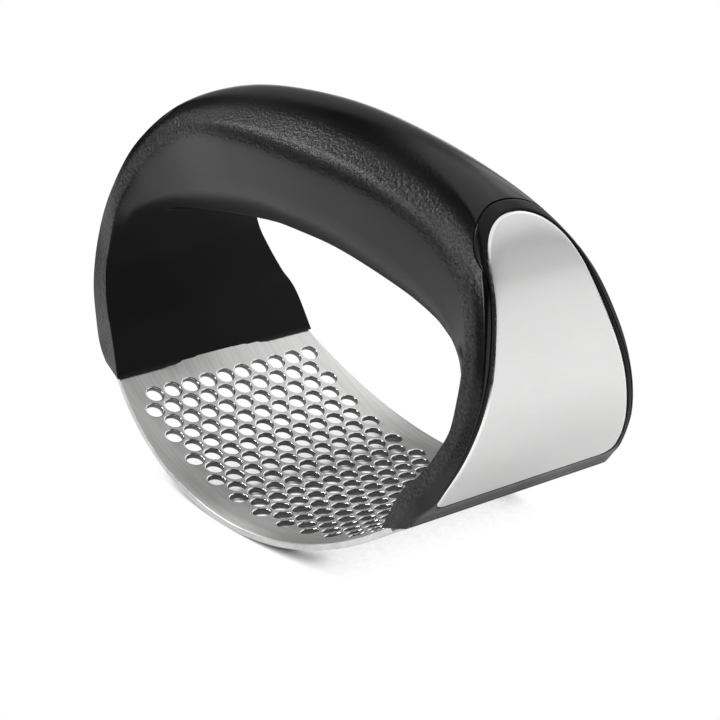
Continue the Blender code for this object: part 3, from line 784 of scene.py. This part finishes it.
def bezel_frame(side, sign, plastic):
    outer = [face_outline(BEZEL_SIDES, BEZEL_START, BEZEL_TOP, BEZEL_ARCH, BEZEL_CORNER, -inset)
             for inset, _ in BEZEL_EDGE]
    inner = [end_plate_loop(SEAM + inset) for inset, _ in BEZEL_EDGE]
    depths = [depth for _, depth in BEZEL_EDGE]
    loops = [(outer[0], END_THICK)] + list(zip(outer, depths))
    loops += [(blend_loops(outer[-1], inner[-1], u / BEZEL_COLUMNS), 0.0) for u in range(1, BEZEL_COLUMNS)]
    loops += list(zip(reversed(inner), reversed(depths))) + [(inner[0], END_THICK)]
    bezel = mesh_object(f"bezel_frame_{side}", face_slab(loops, sign, False), [plastic])
    stand_for(bezel, f"bezel_{side}")


def steel_end(side, sign, satin, highlight):
    loops = [(end_plate_loop(), END_THICK)]
    loops += [(end_plate_loop(-inset), depth) for inset, depth in END_PLATE_EDGE]
    # The bevelled edge walls take the white steel: a painted highlight along the edge.
    plate = mesh_object(f"steel_end_{side}", face_slab(loops, sign, highlight=(1, 2, 3)), [satin, highlight])
    flat = plate.data.attributes.new("flat", "FLOAT_VECTOR", "POINT")
    flat.data.foreach_set("vector", [c for v in plate.data.vertices for c in
                                     (v.co.y / MM, v.co.z / MM, v.co.x / MM)])
    stand_for(plate, f"end_plate_{side}")


def carried_over(metal, sponge):
    """Gives the screws and the pads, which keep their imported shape, their materials."""
    for name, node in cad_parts.items():
        for start, finish in (("plate_screw", metal), ("adhesive", sponge)):
            if name.startswith(start):
                node.data.materials.clear()
                node.data.materials.append(finish)


# ---- The studio ---------------------------------------------------------------------------------

def camera():
    azimuth, elevation = math.radians(VIEW_AZIMUTH), math.radians(VIEW_ELEVATION)
    back = Vector((math.sin(azimuth) * math.cos(elevation), -math.cos(azimuth) * math.cos(elevation),
                   math.sin(elevation)))
    right = Vector((math.cos(azimuth), math.sin(azimuth), 0))
    up = back.cross(right)
    data = bpy.data.cameras.new("camera")
    data.lens, data.sensor_width = VIEW_LENS, VIEW_SENSOR
    data.clip_start, data.clip_end = 0.01, 20.0
    made = bpy.data.objects.new("camera", data)
    turn = Quaternion(back, math.radians(VIEW_ROLL))
    right, up = turn @ right, turn @ up
    made.location = back * VIEW_DISTANCE + right * AIM_RIGHT + up * AIM_UP + Vector((0, 0, AIM_HIGH))
    made.rotation_euler = Matrix((right, up, back)).transposed().to_euler()
    bpy.context.scene.collection.objects.link(made)
    bpy.context.scene.camera = made


def soft_light(name, direction, half_angle, radiance):
    radius = LIGHT_DISTANCE * math.tan(math.radians(half_angle))
    data = bpy.data.lights.new(name, "AREA")
    data.shape = "DISK"
    data.size = 2 * radius
    data.energy = radiance * math.pi * math.pi * radius**2
    made = bpy.data.objects.new(name, data)
    towards = Vector(direction).normalized()
    made.location = Vector((0, 0, LIGHT_AIM_HEIGHT)) + towards * LIGHT_DISTANCE
    made.rotation_euler = towards.to_track_quat("Z", "Y").to_euler()
    made.visible_camera = False
    bpy.context.scene.collection.objects.link(made)


def white_to_camera(tree, shader, strength=None):
    """Mixes a shader with white, which is all that the camera sees of it; a given strength darkens that
    white, which paints a shadow on it.
    """
    white = tree.nodes.new("ShaderNodeEmission")
    if strength:
        tree.links.new(strength, white.inputs["Strength"])
    path = tree.nodes.new("ShaderNodeLightPath")
    choice = tree.nodes.new("ShaderNodeMixShader")
    tree.links.new(path.outputs["Is Camera Ray"], choice.inputs[0])
    tree.links.new(shader.outputs[0], choice.inputs[1])
    tree.links.new(white.outputs[0], choice.inputs[2])
    return choice.outputs[0]


def studio():
    bm = bmesh.new()
    bmesh.ops.create_grid(bm, x_segments=1, y_segments=1, size=FLOOR_HALF_SIZE)
    floor = mesh_object("floor", bm, [])
    floor.location.z = -FLOOR_DROP
    pale = Nodes("pale_floor", (FLOOR_SHADE,) * 3, 0.9)
    pale.shader.inputs["Emission Color"].default_value = (1, 1, 1, 1)
    # Painted shade: occlusion darkens the floor's glow near the object, and darkens the white that the
    # camera sees under the plate, a painted contact shadow; the lamps cast neither.
    contact, around = (pale.open_share(distance) for distance in (CONTACT_REACH, SHADE_REACH))
    shadow = pale.remap(contact, 0.10, 0.42, 0.04, 1.0)
    pale.link(pale.math("MULTIPLY", around, FLOOR_GLOW), pale.shader.inputs["Emission Strength"])
    seen = white_to_camera(pale.tree, pale.shader, shadow)
    pale.link(seen, pale.tree.nodes["Material Output"].inputs[0])
    floor.data.materials.append(pale.material)
    for light in LIGHTS:
        soft_light(*light)
    world = bpy.data.worlds.new("studio")
    world.use_nodes = True
    tree = world.node_tree
    tree.nodes["Background"].inputs["Color"].default_value = (WORLD_SHADE,) * 3 + (1,)
    seen = white_to_camera(tree, tree.nodes["Background"])
    tree.links.new(seen, tree.nodes["World Output"].inputs[0])
    bpy.context.scene.world = world
    bpy.context.scene.view_settings.view_transform = "Standard"


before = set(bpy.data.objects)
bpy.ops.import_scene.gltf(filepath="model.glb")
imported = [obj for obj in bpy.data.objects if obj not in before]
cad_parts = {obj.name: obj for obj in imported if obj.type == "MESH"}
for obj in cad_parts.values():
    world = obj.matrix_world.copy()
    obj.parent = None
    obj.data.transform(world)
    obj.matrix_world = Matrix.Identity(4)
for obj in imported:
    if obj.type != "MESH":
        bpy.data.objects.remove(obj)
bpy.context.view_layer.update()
camera()
PLASTIC = handle_plastic()
SMOOTH = smooth_plastic()
SATIN = brushed_steel("satin_end_steel", (0.86, 0.86, 0.855), 0.38, 0.5, 7.0, 0.000002, 0.05)
BRUSHED = brushed_steel("brushed_plate_steel", (0.96, 0.96, 0.95), 0.42, 0.06, 3.2, 0.000010, 0.28, 0.8)
# A white steel for rolled and bevelled edges: a painted highlight along them.
HIGHLIGHT_STEEL = highlight_steel()
# A dark, rougher steel for the hole walls: its dark colour is painted shade inside the holes.
SHADED_WALL_STEEL = plain_steel("hole_wall_steel_painted_shade", (0.22, 0.22, 0.22), 0.42, 0.56)
press_plate(BRUSHED, HIGHLIGHT_STEEL, SHADED_WALL_STEEL)
handle_body(PLASTIC)
grip_liner(SMOOTH)
for side, sign in SIDES:
    bezel_frame(side, sign, SMOOTH)
    steel_end(side, sign, SATIN, HIGHLIGHT_STEEL)
carried_over(plain_steel("screw_steel_finish", (0.45, 0.45, 0.46), 0.28, 0.42), foam())
studio()
